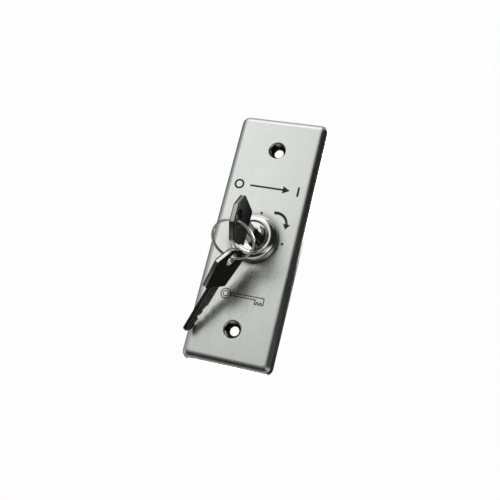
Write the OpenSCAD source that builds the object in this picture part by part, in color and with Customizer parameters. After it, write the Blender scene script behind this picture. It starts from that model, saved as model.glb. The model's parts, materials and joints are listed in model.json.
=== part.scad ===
// Flush-mounted selector key switch: a pressed stainless wall plate with a
// chrome cam lock, a cam-operated miniature switch behind it, and two keys
// on a split ring.
//
// Every piece is drawn in the plate's own frame: x across the plate, y up its
// long side, z out of the wall with z = 0 on the wall surface. place() then
// stands it up, so that the finished model has +Z up and its face towards -Y.

/* [Plate] */
// Width of the wall plate
plate_width = 41; // [40:0.5:46]
// Height of the wall plate
plate_height = 115; // [110:1:140]
// How far the face stands off the wall
plate_depth = 4.5; // [4.3:0.1:5]
// Thickness of the stainless sheet
sheet = 1.2; // [1:0.1:1.3]
// Radius of the plate's corners, seen from the front
corner_r = 3.4; // [3.4:0.1:6]
// Radius of the rolled shoulder between face and side wall
shoulder_r = 3.35; // [2.2:0.05:3.35]
// Distance between the two fixing holes
hole_span = 83.5; // [80:0.5:100]
// Radius of a fixing hole
hole_r = 2.15; // [1.8:0.05:2.4]
// Radius of a screw dimple at the face
dimple_r = 3.7; // [3.4:0.1:4.5]

/* [Lock] */
// Height of the lock's axis relative to the middle of the plate
lock_y = -0.9; // [-3:0.1:3]
// Radius of the domed chrome collar
dome_r = 10.8; // [10.2:0.1:12]
// Height of the collar's flat front above the wall
dome_top = 10.2; // [9.8:0.1:11]
// Outside radius of the threaded barrel
barrel_r = 9.4; // [9.2:0.05:9.5]
// Pitch of the barrel thread
pitch = 1; // [1:0.25:1.5]
// Radius of the rotating plug
plug_r = 5; // [4.8:0.1:5.2]
// Running clearance between plug and bore
run_gap = 0.05; // [0.02:0.01:0.08]
// Turning angle of the key
turn_deg = 90; // [60:15:90]

/* [Keys] */
// Thickness of the key blade
blade_thick = 1.6; // [1.6:0.1:1.8]
// Half width of the key blade
blade_half = 3.4; // [3.2:0.1:3.5]
// Length of blade inside the lock
blade_length = 13; // [12:0.5:13]
// Length of the neck between lock and bow
neck_length = 10.3; // [9:0.1:11]
// Thickness over both plastic faces of the bow
bow_thick = 2.2; // [2.1:0.1:3]
// Half width of the bow at its outer shoulders
bow_half = 9.9; // [9.8:0.1:10.4]
// Half width of the bow next to the neck
bow_foot_half = 7.6; // [7.4:0.1:8]
// Height of the outer shoulders above the bow's lower edge
bow_shoulder = 13.5; // [13.3:0.1:15]
// Full height of the bow
bow_height = 18.9; // [18.7:0.1:20.4]
// Radius of the hole for the ring
eye_r = 3.1; // [3:0.05:3.2]
// Mean radius of the split ring
ring_r = 9.1; // [9:0.1:9.3]
// Lean of the ring towards the wall, in degrees
ring_lean = 48; // [46:1:50]
// How far the ring has slid round through the first key, in degrees
ring_slide = -10; // [-12:1:-8]

/* [Switch] */
// Length of the miniature switch
switch_length = 19.8; // [19.6:0.1:20]
// Height of the miniature switch
switch_height = 10.2; // [10:0.1:10.4]
// Thickness of the miniature switch
switch_thick = 6.4; // [6.4:0.1:6.6]
// Distance between the switch's fixing holes
switch_hole_span = 9.5; // [9.4:0.1:9.6]
// Smallest radius of the cam
cam_r = 6.85; // [6.8:0.05:6.9]
// Lift of the cam over a full turn of the key
cam_rise = 1; // [0.9:0.05:1]

/* [Hidden] */
$fn = 72;
overlap = 0.01;

// Lock, from the front backwards
plug_top = dome_top - 0.2;    // the key's shoulder rests here
gasket_thick = 0.5;
collar_back = plate_depth + gasket_thick;
flat_half = 8.6;              // half distance across the barrel's flats
root_r = barrel_r - 0.5;      // bottom of the barrel thread
barrel_end = -9;
tang_r = 3.4;                 // tang at the back of the plug
tang_half = 2.4;              // half distance across its flats

// Parts clamped behind the plate, and those screwed to the plug's tang
stack_gap = 0.05;
nut_back = -2.7;
nut_height = 4;
bracket_sheet = 1.2;
bracket_back = nut_back + nut_height;
tooth_washer_back = bracket_back + bracket_sheet + stack_gap;
cam_screw_seat = -13.3;
cam_washer_back = cam_screw_seat + stack_gap;
cam_washer_thick = 0.55;
cam_back = cam_washer_back + cam_washer_thick + stack_gap;

// Switch
switch_front = -8.4;
switch_mid = switch_front - switch_thick / 2;
switch_back = switch_front - switch_thick;
switch_top = -10.2;           // edge next to the cam
switch_bottom = switch_top - switch_height;
switch_hole_y = switch_bottom + 2.9;
lever_pivot = [8.9, -9.3];
lever_slope = 7.4;            // in degrees, with the key at rest

// Keys and ring
bow_z = plug_top + neck_length;
eye_up = bow_shoulder + 0.8;  // ring hole above the bow's lower edge
ring_down = [0, -cos(ring_lean), -sin(ring_lean)];
function ring_offset(slide) = ring_r * (sin(slide) * [1, 0, 0] + cos(slide) * ring_down);
// Where the ring passes through each key
ring_in_key_1 = [0, lock_y - 1.7, bow_z + eye_up];
ring_centre = ring_in_key_1 + ring_offset(ring_slide);
ring_in_key_2 = ring_centre + ring_offset(-5);
key_2_eye = ring_in_key_2 + [-0.3, -0.65, 0.75];
key_2_turn = [-66.7, -0.5, -27.9];

// Colours shared by several pieces
wafer_colour = [0.78, 0.62, 0.30];
spring_colour = [0.6, 0.6, 0.62];
terminal_colour = [0.83, 0.70, 0.36];
blade_colour = [0.62, 0.60, 0.56];
bow_colour = [0.06, 0.06, 0.065];

// ---------- shared helpers ----------

module place() { rotate([90, 0, 0]) children(); }

module at_lock(z = 0) { translate([0, lock_y, z]) children(); }

module box(corner, size) { translate(corner) cube(size); }

function polar(radius, angle) = radius * [cos(angle), sin(angle)];

// Circle with two flats, each at the distance half from the centre
module double_d(radius, half) {
    intersection() {
        circle(radius, $fn = 96);
        square([2 * half, 2 * radius + 2], center = true);
    }
}

module barrel_hole() { double_d(barrel_r + 0.15, flat_half + 0.12); }

module tang_hole() { double_d(tang_r + 0.03, tang_half + 0.03); }

// Cross recess for a screw head, pointing along +z from its floor
module cross_cut(width, length, depth) {
    box([-length / 2, -width / 2, 0], [length, width, depth]);
    box([-width / 2, -length / 2, 0], [width, length, depth]);
}

// ---------- plate ----------

// Half of the section through one edge of the plate, from the centre of its
// corner outwards
module edge_section(depth, corner, shoulder) {
    square([corner - shoulder, depth]);
    square([corner, depth - shoulder]);
    intersection() {
        translate([corner - shoulder, depth - shoulder]) circle(shoulder, $fn = 96);
        square([corner + 1, depth + 1]);
    }
}

// Solid block with rounded corners and front edges
module pan(width, height, depth, corner, shoulder) {
    core_x = width / 2 - corner;
    core_y = height / 2 - corner;
    for (sx = [-1, 1]) for (sy = [-1, 1])
        translate([sx * core_x, sy * core_y, 0])
            rotate_extrude($fn = 96) edge_section(depth, corner, shoulder);
    for (turn = [0, 180]) rotate([0, 0, turn]) {
        translate([core_x, core_y, 0]) rotate([90, 0, 0])
            linear_extrude(2 * core_y) edge_section(depth, corner, shoulder);
        translate([-core_x, core_y, 0]) rotate([90, 0, 90])
            linear_extrude(2 * core_x) edge_section(depth, corner, shoulder);
    }
    box([-core_x, -core_y, 0], [2 * core_x, 2 * core_y, depth]);
}

// Screw dimple: front surface of the pressed sheet, from a soft lip to a flat
// seat around the hole
module dimple_cut() {
    seat_z = 1.25;
    seat_r = 2.75;
    lip_r = 0.5;
    rim_r = dimple_r + 0.1;
    rotate_extrude($fn = 96) polygon(concat(
        [[0, plate_depth + 1], [0, -1], [hole_r, -1], [hole_r, seat_z], [seat_r, seat_z]],
        [[3.1, seat_z + 0.2], [3.35, seat_z + 0.6]],
        [for (k = [0:6]) [rim_r, plate_depth - lip_r] + polar(lip_r, 180 - 15 * k)],
        [[rim_r, plate_depth + 1]]));
}

module face_plate() {
    inside = plate_depth - sheet;
    color([0.80, 0.80, 0.78]) place() difference() {
        union() {
            difference() {
                pan(plate_width, plate_height, plate_depth, corner_r, shoulder_r);
                translate([0, 0, -overlap])
                    pan(plate_width - 2 * sheet, plate_height - 2 * sheet, inside + overlap,
                        corner_r - sheet, shoulder_r - sheet);
            }
            // metal around the dimples
            for (side = [-1, 1]) translate([0, side * hole_span / 2, 0])
                cylinder(r1 = 3.9, r2 = 4.9, h = inside + overlap, $fn = 96);
        }
        for (side = [-1, 1]) translate([0, side * hole_span / 2, 0]) dimple_cut();
        at_lock() linear_extrude(plate_depth + 1) barrel_hole();
    }
}

// ---------- printed legend ----------

ink = 0.06;                   // thickness of the print
dot_distance = 12.5;          // from the lock's axis to a position mark
dot_r = 0.55;
switch_marks_y = 23.7;
switch_mark_x = 13.6;
key_head = [-6.9, -26.8];

// Curved arrow's shaft, about its own centre
arrow_r = 5.4;
arrow_start = 104;
arrow_sweep = 96;
arrow_steps = 24;

// Outline of the drawn key's shank and teeth: x, y
key_line_points = [
    [-4.7, -26.1], [10.6, -26.1], [10.6, -29.2], [9.8, -29.2], [9.8, -28.3],
    [9.1, -28.3], [9.1, -29.2], [8.3, -29.2], [8.3, -28.3], [7.6, -28.3],
    [7.6, -29.2], [6.8, -29.2], [6.8, -27.3], [-4.6, -27.3]];

// Point on the shaft's outer (side = 1) or inner (side = -1) edge
function arrow_point(step, side) =
    polar(arrow_r + side * (0.68 - 0.2 * step / arrow_steps),
        arrow_start - arrow_sweep * step / arrow_steps);

module line_between(start, end, width) {
    run = end - start;
    translate(start) rotate([0, 0, atan2(run[1], run[0])])
        translate([0, -width / 2]) square([norm(run), width]);
}

module closed_line(points, width) {
    for (k = [0:len(points) - 1]) {
        line_between(points[k], points[(k + 1) % len(points)], width);
        translate(points[k]) circle(width / 2, $fn = 24);
    }
}

module flat_ring(outer_r, inner_r, segments) {
    difference() {
        circle(outer_r, $fn = segments);
        circle(inner_r, $fn = segments);
    }
}

module legend_print() {
    color([0.09, 0.09, 0.10]) place() translate([0, 0, plate_depth]) linear_extrude(ink) {
        // position marks above and to the right of the lock
        for (spot = [[0, dot_distance], [dot_distance, 0]])
            translate([0, lock_y] + spot) circle(dot_r, $fn = 36);
        // curved arrow, thinning towards its head
        translate([7, lock_y + 8.2]) {
            polygon(concat(
                [for (k = [0:arrow_steps]) arrow_point(k, 1)],
                [for (k = [arrow_steps:-1:0]) arrow_point(k, -1)]));
            polygon([[3.75, 1.0], [7.05, 0.8], [5.25, -1.5]]);
        }
        // off and on marks joined by a plain arrow
        translate([0, switch_marks_y]) {
            translate([-switch_mark_x, 0]) flat_ring(2.3, 1.5, 60);
            translate([switch_mark_x, -2.2]) square([0.85, 4.4]);
            translate([-8.4, -0.38]) square([15.6, 0.76]);
            polygon([[10.2, 0], [6.9, 1.7], [6.9, -1.7]]);
        }
        // outline of a plain key
        translate(key_head) flat_ring(2.35, 2.0, 60);
        translate(key_head) flat_ring(1.35, 1.05, 48);
        closed_line(key_line_points, 0.34);
    }
}

// ---------- lock body ----------

flange_r = plug_r + 1.5;      // counterbore for the plug's flange
stop_angle = 135;             // middle of the stop tab at rest
stop_tab_half = 11;           // half angle of the stop tab
stop_gap = 1;                 // angle left between tab and stop
stop_span = 21;               // angle covered by each stop

// Radius of the thread at its k-th half pitch: a symmetrical vee
function thread_r(k) = (k % 2 == 0) ? root_r : barrel_r;

module thread_section(z0, z1, grow) {
    steps = round((z1 - z0) / (pitch / 2));
    polygon(concat([[0, z0]],
        [for (k = [0:steps]) [thread_r(k) + grow, z0 + k * pitch / 2]],
        [[0, z0 + steps * pitch / 2]]));
}

module flange_gasket() {
    color([0.07, 0.07, 0.07]) place() at_lock(plate_depth) difference() {
        cylinder(r = dome_r - 0.15, h = gasket_thick, $fn = 120);
        translate([0, 0, -1]) cylinder(r = barrel_r + 0.1, h = 3, $fn = 96);
    }
}

// Outside of the collar: a short upright band, a swept dome and a flat nose
module dome_section() {
    steps = 14;
    nose_r = 7.5;
    sweep_start = collar_back + 1;
    sweep_end = dome_top - 0.25;
    polygon(concat(
        [[0, collar_back], [dome_r - 0.25, collar_back], [dome_r, collar_back + 0.25],
            [dome_r, sweep_start - 0.1]],
        [for (k = [0:steps]) let (a = 90 * k / steps)
            [nose_r + (dome_r - 0.1 - nose_r) * cos(a),
                sweep_start + (sweep_end - sweep_start) * sin(a)]],
        [[nose_r - 0.08, dome_top], [0, dome_top]]));
}

// Sector of a ring
module sector(inner_r, outer_r, start, end, z0, z1) {
    reach = 30;
    translate([0, 0, z0]) linear_extrude(z1 - z0) difference() {
        intersection() {
            circle(outer_r);
            polygon(concat([[0, 0]],
                [for (a = [start, (start + end) / 2, end]) polar(reach, a)]));
        }
        circle(inner_r);
    }
}

module lock_body() {
    color([0.86, 0.87, 0.88]) place() at_lock() difference() {
        union() {
            rotate_extrude($fn = 120) dome_section();
            intersection() {
                rotate_extrude($fn = 96) thread_section(barrel_end, collar_back, 0);
                box([-flat_half, -15, -30], [2 * flat_half, 30, 60]);
            }
            // stops for the tab washer
            for (start = [stop_angle + stop_tab_half + stop_gap,
                    stop_angle - turn_deg - stop_tab_half - stop_gap - stop_span])
                sector(6.4, 8.3, start, start + stop_span, barrel_end - 1.2, barrel_end + 1);
        }
        translate([0, 0, -30]) cylinder(r = plug_r + run_gap, h = 60, $fn = 96);
        // counterbore for the plug's flange, with a wide chamfered mouth
        translate([0, 0, plug_top - 1.9]) cylinder(r = flange_r, h = 5, $fn = 96);
        translate([0, 0, dome_top - 0.34])
            cylinder(r1 = flange_r, r2 = flange_r + 0.85, h = 0.36, $fn = 96);
        // slots that the wafers spring into when the key is out
        for (a = [0, 90]) rotate([0, 0, a]) box([-2.4, -6, -1.6], [4.8, 12, 8.9]);
    }
}

// ---------- plug, wafers and springs ----------

wafer_z = [6.2, 4, 1.8, -0.4];   // middle of each wafer, front to back
wafer_thick = 1;
wafer_width = 4.4;
slot_gap = 0.05;
lug_x = 2;                       // inner end of a wafer's lug
lug_half = 0.55;
spring_x = 2.85;
spring_start = 0.67;             // end nearest the lock's axis
spring_length = 2.38;

module lock_plug() {
    back = -9.3;
    color([0.80, 0.80, 0.80]) place() at_lock() difference() {
        union() {
            translate([0, 0, back]) cylinder(r = plug_r, h = plug_top - 1 - back, $fn = 96);
            // flange with a chamfered front
            translate([0, 0, plug_top - 1.85]) cylinder(r = flange_r - 0.05, h = 1.65, $fn = 96);
            translate([0, 0, plug_top - 0.21])
                cylinder(r1 = flange_r - 0.05, r2 = flange_r - 0.2, h = 0.21, $fn = 96);
            translate([0, 0, -12.6]) linear_extrude(4) double_d(tang_r, tang_half);
        }
        // keyway, open at the front
        box([-blade_thick / 2 - 0.12, -blade_half - 0.15, plug_top - blade_length - 0.5],
            [blade_thick + 0.24, blade_half + 0.15 + 2.55, 30]);
        // wafer slots with a side pocket for the spring
        for (k = [0:3]) translate([0, 0, wafer_z[k] - wafer_thick / 2 - slot_gap]) {
            slot = wafer_thick + 2 * slot_gap;
            box([-2.25, -10, 0], [4.5, 20, slot]);
            mirror([0, k % 2, 0]) box([lug_x, -3.2, 0], [1.5, 4.6, slot]);
        }
        // screw hole, open at the back
        translate([0, 0, -20]) cylinder(r = 1.5, h = 13.4, $fn = 48);
    }
}

// One wafer: a thin plate with a window for the blade and a lug for its spring
module wafer(k) {
    translate([0, 0, wafer_z[k] - wafer_thick / 2]) difference() {
        union() {
            linear_extrude(wafer_thick) intersection() {
                circle(plug_r - 0.05, $fn = 96);
                square([wafer_width, 20], center = true);
            }
            mirror([0, k % 2, 0])
                box([lug_x, -lug_half, 0], [1.35, 2 * lug_half, wafer_thick]);
        }
        box([-1.1, -blade_half - 0.75, -1], [2.2, blade_half + 0.75 + 3.3, wafer_thick + 2]);
    }
}

module wafers_upper() { color(wafer_colour) place() at_lock() for (k = [0, 2]) wafer(k); }

module wafers_lower() { color(wafer_colour) place() at_lock() for (k = [1, 3]) wafer(k); }

// Point i along a coil spring and j round its wire's skin
function coil_point(i, j, steps, sides, turns, coil_r, wire_r, length) =
    let (a = 360 * turns * i / steps, b = 360 * j / sides, r = coil_r + wire_r * cos(b))
    [r * cos(a), length * i / steps + wire_r * sin(b), r * sin(a)];

// Coil spring along +y from the origin
module coil(length, coil_r, wire_r, turns) {
    n = 14 * turns;           // steps along the wire
    m = 6;                    // sides of the wire
    end = 360 * turns;
    polyhedron(
        points = concat(
            [for (i = [0:n]) for (j = [0:m - 1])
                coil_point(i, j, n, m, turns, coil_r, wire_r, length)],
            [[coil_r, 0, 0], [coil_r * cos(end), length, coil_r * sin(end)]]),
        faces = concat(
            [for (i = [0:n - 1]) for (j = [0:m - 1])
                [i * m + j, i * m + (j + 1) % m, (i + 1) * m + (j + 1) % m]],
            [for (i = [0:n - 1]) for (j = [0:m - 1])
                [i * m + j, (i + 1) * m + (j + 1) % m, (i + 1) * m + j]],
            [for (j = [0:m - 1]) [(n + 1) * m, (j + 1) % m, j]],
            [for (j = [0:m - 1]) [(n + 1) * m + 1, n * m + j, n * m + (j + 1) % m]]));
}

// Spring of wafer k: below its lug for even k, above it for odd k
module spring(k) {
    low_end = (k % 2 == 0) ? -spring_start - spring_length : spring_start;
    translate([spring_x, low_end, wafer_z[k]])
        coil(length = spring_length, coil_r = 0.36, wire_r = 0.1, turns = 4);
}

module springs_upper() { color(spring_colour) place() at_lock() for (k = [0, 2]) spring(k); }

module springs_lower() { color(spring_colour) place() at_lock() for (k = [1, 3]) spring(k); }

// ---------- cam and fixings ----------

module stop_washer() {
    back = -10.3;
    thick = 0.95;
    color([0.70, 0.70, 0.70]) place() at_lock() difference() {
        union() {
            translate([0, 0, back]) cylinder(r = 6.2, h = thick);
            sector(5, 8, stop_angle - stop_tab_half, stop_angle + stop_tab_half,
                back, back + thick);
        }
        translate([0, 0, -20]) linear_extrude(30) tang_hole();
    }
}

// Plate cam: constant radius, then a steady rise that presses the lever down
// as the key turns clockwise
rise_start = -90 - lever_slope;
rise_span = turn_deg + 6.3;
cam_start = rise_start - 4;
cam_end = rise_start + rise_span + 8;
function cam_radius(a) = cam_r + cam_rise * max(0, min(1, (a - rise_start) / rise_span));

module cam() {
    work_steps = 56;
    return_steps = 12;
    color([0.90, 0.88, 0.80]) place() at_lock(cam_back) difference() {
        linear_extrude(2.15) polygon(concat(
            [for (k = [0:work_steps])
                let (a = cam_start + (cam_end - cam_start) * k / work_steps)
                polar(cam_radius(a), a)],
            // falls back to the smallest radius over the rest of the turn
            [for (k = [1:return_steps - 1])
                let (t = k / return_steps, a = cam_end + (cam_start + 360 - cam_end) * t)
                polar(cam_radius(cam_end) * (1 - t) + cam_r * t, a)]));
        translate([0, 0, -5]) linear_extrude(12) tang_hole();
    }
}

module cam_washer() {
    color([0.75, 0.75, 0.76]) place() at_lock(cam_washer_back) difference() {
        cylinder(r = 4.2, h = cam_washer_thick);
        translate([0, 0, -1]) cylinder(r = 1.65, h = 3, $fn = 48);
    }
}

module cam_screw() {
    color([0.70, 0.70, 0.72]) place() at_lock(cam_screw_seat) difference() {
        union() {
            cylinder(r = 1.45, h = 6.2, $fn = 48);
            rotate_extrude()
                polygon([[0, 0], [2.8, 0], [2.8, -1.1], [2.3, -1.7], [1.3, -1.9], [0, -1.9]]);
        }
        translate([0, 0, -2.9]) cross_cut(width = 0.6, length = 3, depth = 2);
    }
}

module tooth_washer() {
    teeth = 18;
    color([0.70, 0.70, 0.70]) place() at_lock(tooth_washer_back)
        linear_extrude(0.7) difference() {
            union() {
                circle(11.4, $fn = 96);
                for (k = [0:teeth - 1]) rotate([0, 0, k * 360 / teeth])
                    translate([11.1, 0]) rotate([0, 0, 45]) square(1.5, center = true);
            }
            circle(barrel_r + 0.1, $fn = 96);
        }
}

module lock_nut() {
    flat_distance = 12;       // from the axis to each of the six flats
    chamfer_r = 12.3;
    top = nut_height + 0.02;
    color([0.78, 0.78, 0.76]) place() at_lock(nut_back) difference() {
        intersection() {
            cylinder(r = flat_distance / cos(30), h = nut_height, $fn = 6);
            translate([0, 0, -0.01]) rotate_extrude($fn = 96) polygon([
                [0, 0], [chamfer_r, 0], [14, 0.9], [14, 3.1], [chamfer_r, top], [0, top]]);
        }
        translate([0, 0, -0.3]) rotate_extrude($fn = 96) thread_section(0, 4.5, 0.06);
    }
}

// ---------- switch on its bracket ----------

plunger_x = 3.2;
pin_r = 0.43;
post_r = 1.7;                 // posts inside the case, round its fixing holes
blade_pivot = [7.4, -13.5];
contact_x = -7;
tab_thick = 0.5;
tab_width = 3;
tab_drop = 6.4;               // how far the tabs reach below the case
com_tab_width = 1.5;
// Left edge of each terminal's tab
com_left = 6.5;
no_left = -9.1;
nc_left = -1.5;
nc_mid = switch_mid + 1.7;    // this terminal lies nearer the front

module at_switch_holes(z) {
    for (side = [-1, 1]) translate([side * switch_hole_span / 2, switch_hole_y, z]) children();
}

module switch_holes() { at_switch_holes(-40) cylinder(r = 1.15, h = 60, $fn = 48); }

module switch_bracket() {
    width = 18;
    color([0.72, 0.73, 0.74]) place() difference() {
        union() {
            at_lock(bracket_back) cylinder(r = 12.2, h = bracket_sheet, $fn = 96);
            // arm below the lock, step backwards, and shelf carrying the switch
            translate([-width / 2, switch_bottom - bracket_sheet, 0]) {
                box([0, 0, bracket_back], [width, 20, bracket_sheet]);
                box([0, 0, switch_front],
                    [width, bracket_sheet, bracket_back + bracket_sheet - switch_front]);
                box([0, 0, switch_front], [width, 9.6, bracket_sheet]);
            }
        }
        at_lock() linear_extrude(6) barrel_hole();
        at_switch_holes(switch_front - 1) cylinder(r = 1.25, h = 4, $fn = 48);
    }
}

module switch_case() {
    wall = 1.1;
    cover = 1;
    slit_gap = 0.05;
    color([0.12, 0.12, 0.13]) place() difference() {
        union() {
            difference() {
                box([-switch_length / 2, switch_bottom, switch_back + cover],
                    [switch_length, switch_height, switch_thick - cover]);
                box([-switch_length / 2 + wall, switch_bottom + wall, switch_back],
                    [switch_length - 2 * wall, switch_height - 2 * wall, switch_thick - wall]);
            }
            at_switch_holes(switch_back + cover)
                cylinder(r = post_r, h = switch_thick - cover, $fn = 48);
            // ears for the lever pin: back face, thickness
            for (ear = [[switch_mid - 2.2, 0.6], [switch_mid + 1.6, 0.9]]) {
                box([lever_pivot[0] - 1, switch_top - 0.5, ear[0]], [2, 1.4, ear[1]]);
                translate([lever_pivot[0], lever_pivot[1], ear[0]])
                    cylinder(r = 1, h = ear[1], $fn = 48);
            }
        }
        switch_holes();
        translate([lever_pivot[0], lever_pivot[1], -30]) cylinder(r = 0.45, h = 40, $fn = 36);
        // shallow rebate that clears the end of the barrel
        box([-6, switch_top - 0.25, switch_front - 0.9], [12, 1, 2]);
        // plunger guide
        translate([plunger_x, switch_top - 3, switch_mid])
            rotate([-90, 0, 0]) cylinder(r = 0.95, h = 6, $fn = 48);
        // terminal outlets: left edge and width of the tab, its middle height
        for (outlet = [[com_left, com_tab_width, switch_mid], [nc_left, tab_width, nc_mid],
                [no_left, tab_width, switch_mid]])
            box([outlet[0] - slit_gap, switch_bottom - 1, outlet[2] - tab_thick / 2 - slit_gap],
                [outlet[1] + 2 * slit_gap, 3, tab_thick + 2 * slit_gap]);
    }
}

module switch_cover() {
    color([0.16, 0.16, 0.17]) place() difference() {
        box([-switch_length / 2, switch_bottom, switch_back], [switch_length, switch_height, 1]);
        switch_holes();
    }
}

module switch_plunger() {
    stem_r = 0.9;
    color([0.75, 0.18, 0.14]) place() translate([plunger_x, 0, switch_mid]) rotate([-90, 0, 0]) {
        translate([0, 0, -12.75]) cylinder(r = stem_r, h = 3.2, $fn = 48);
        translate([0, 0, -9.58]) cylinder(r1 = stem_r, r2 = 0.45, h = 0.65, $fn = 48);
        // collar
        translate([0, 0, -12.4]) cylinder(r = 1.45, h = 0.75, $fn = 48);
    }
}

module switch_lever() {
    length = 18;
    width = 3;
    thick = 0.26;
    color([0.82, 0.82, 0.80]) place() translate([lever_pivot[0], lever_pivot[1], switch_mid])
        rotate([0, 0, -lever_slope]) difference() {
            union() {
                box([-length, -thick / 2, -width / 2], [length, thick, width]);
                translate([0, 0, -width / 2]) cylinder(r = 0.85, h = width, $fn = 48);
            }
            translate([0, 0, -3]) cylinder(r = pin_r + 0.05, h = 6, $fn = 36);
        }
}

module lever_pin() {
    color([0.75, 0.75, 0.76]) place()
        translate([lever_pivot[0], lever_pivot[1], switch_mid - 2.15])
            cylinder(r = pin_r, h = 4.6, $fn = 36);
}

// Upright cylinder centred on the moving blade's pivot
module at_blade_pivot(radius, height) {
    translate([blade_pivot[0], blade_pivot[1], switch_mid - height / 2])
        cylinder(r = radius, h = height, $fn = 36);
}

// Round contact whose lower face is at y
module contact(y, height) {
    translate([contact_x, y, switch_mid])
        rotate([-90, 0, 0]) cylinder(r = 0.8, h = height, $fn = 36);
}

module moving_blade() {
    width = 1.8;
    color([0.85, 0.60, 0.28]) place() difference() {
        union() {
            box([-8, blade_pivot[1] - 0.1, switch_mid - width / 2],
                [8 + blade_pivot[0], 0.2, width]);
            contact(blade_pivot[1] - 0.55, 1.1);
            at_blade_pivot(0.4, width);
        }
        at_blade_pivot(0.22, 6);
    }
}

// A solder tab running down out of the case, with its hole
module tab(left, z, width, length, tab_hole_r) {
    difference() {
        box([left, switch_bottom - tab_drop, z - tab_thick / 2], [width, length, tab_thick]);
        translate([left + width / 2, switch_bottom - tab_drop + 2, z - 2])
            cylinder(r = tab_hole_r, h = 4, $fn = 36);
    }
}

module terminal_com() {
    color(terminal_colour) place() {
        tab(com_left, switch_mid, com_tab_width, 12.4, 0.4);
        // yoke whose cross pin carries the moving blade
        for (z = [switch_mid - 1.6, switch_mid + 1.1]) box([6.8, -14.4, z], [1.2, 1.5, 0.5]);
        box([6.8, -14.7, switch_mid - 1.6], [1.2, 0.5, 3.2]);
        at_blade_pivot(0.18, 2.4);
    }
}

module terminal_no() {
    color(terminal_colour) place() {
        tab(no_left, switch_mid, tab_width, 7.4, 0.7);
        box([-8.6, switch_bottom, switch_mid - tab_thick / 2], [2, 4.6, tab_thick]);
        box([-8.4, switch_bottom + 4.5, switch_mid - 1], [2.4, 0.35, 2]);
        contact(switch_bottom + 4.8, 0.25);
    }
}

module terminal_nc() {
    color(terminal_colour) place() {
        tab(nc_left, nc_mid, tab_width, 7.4, 0.7);
        box([nc_left, switch_bottom, nc_mid - tab_thick / 2], [tab_width, 8.6, tab_thick]);
        box([-8.4, -12.2, nc_mid - tab_thick / 2], [9.9, 0.4, tab_thick]);
        box([-8.4, -12.2, switch_mid - 1], [2.4, 0.4, 2.9]);
        contact(-12.88, 0.7);
    }
}

module switch_screws() {
    color([0.72, 0.72, 0.74]) place() at_switch_holes(switch_front + bracket_sheet) difference() {
        union() {
            translate([0, 0, -9.6]) cylinder(r = 1, h = 9.7, $fn = 48);
            rotate_extrude($fn = 48)
                polygon([[0, 0], [1.9, 0], [1.9, 0.8], [1.5, 1.3], [0, 1.45]]);
        }
        translate([0, 0, 0.6]) cross_cut(width = 0.4, length = 2, depth = 2);
    }
}

module switch_nuts() {
    thick = 1.6;
    color([0.78, 0.78, 0.76]) place() at_switch_holes(switch_back - thick) difference() {
        cylinder(r = 2 / cos(30), h = thick, $fn = 6);
        translate([0, 0, -1]) cylinder(r = 1.03, h = 4, $fn = 48);
    }
}

// ---------- keys ----------

peg_across = 5;               // pegs that hold the plastic on the bow
peg_up = 6;
peg_r = 1;
groove_depth = 0.35;

// Rounded corners of one half of the bow: across, along, radius
bow_corners = [
    [bow_foot_half - 0.9, 0.9, 0.9],
    [bow_half - 0.8, bow_shoulder - 0.5, 0.8],
    [3.2, bow_height - 1.6, 1.6]];

// Bitted edge, from the tip up: depth below the full width, height above the tip
bitting = [
    [2.6, 0], [1.2, 1.6], [1.2, 2.6], [2.2, 3.6], [2.2, 4.4], [1.5, 5.1], [1.5, 5.9],
    [2.7, 7.1], [2.7, 7.9], [1.2, 9.4], [1.2, 10], [1.9, 10.7], [1.9, 11.5], [1, 12.4]];

// Milled grooves: x of the cutter, its lower y, its width
grooves = [
    [blade_thick / 2 - groove_depth, -2.1, 0.9],
    [blade_thick / 2 - groove_depth, 0.1, 0.7],
    [-blade_thick / 2 + groove_depth - 1, -1.2, 0.9]];

// Outline of the bow: y across it, z along it, drawn smaller by inset all round
module bow_outline(inset) {
    hull() for (side = [-1, 1]) for (c = bow_corners)
        translate([side * c[0], c[1]]) circle(c[2] - inset, $fn = 32);
}

// One-piece metal key in the x = 0 plane: bitted blade, neck and the core of
// the bow. y is across it, z along it, with z = 0 at the lower edge of the bow
// and the tip at the bottom
module key_blade() {
    tip = -neck_length - blade_length;
    half = blade_half;
    difference() {
        translate([-blade_thick / 2, 0, 0]) rotate([90, 0, 90]) linear_extrude(blade_thick) {
            polygon(concat(
                [[-half, -neck_length + 0.6], [-half, tip + 1], [-half + 1.1, tip]],
                [for (cut = bitting) [half - cut[0], tip + cut[1]]],
                [[half - 1, -neck_length], [half, -neck_length], [half, 1], [-half, 1]]));
            difference() {
                bow_outline(0.12);
                translate([0, eye_up]) circle(eye_r, $fn = 64);
                for (side = [-1, 1])
                    translate([side * peg_across, peg_up]) circle(peg_r + 0.03, $fn = 36);
            }
        }
        for (g = grooves) box([g[0], g[1], tip - 1], [1, g[2], -tip + 0.5]);
    }
}

// A round puck with softened rims, the corner of a bow
module puck(radius) {
    rim = 0.2;
    rotate([0, 90, 0]) translate([0, 0, -bow_thick / 2]) {
        cylinder(r1 = radius - rim, r2 = radius, h = rim, $fn = 32);
        translate([0, 0, rim]) cylinder(r = radius, h = bow_thick - 2 * rim, $fn = 32);
        translate([0, 0, bow_thick - rim])
            cylinder(r1 = radius, r2 = radius - rim, h = rim, $fn = 32);
    }
}

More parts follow.
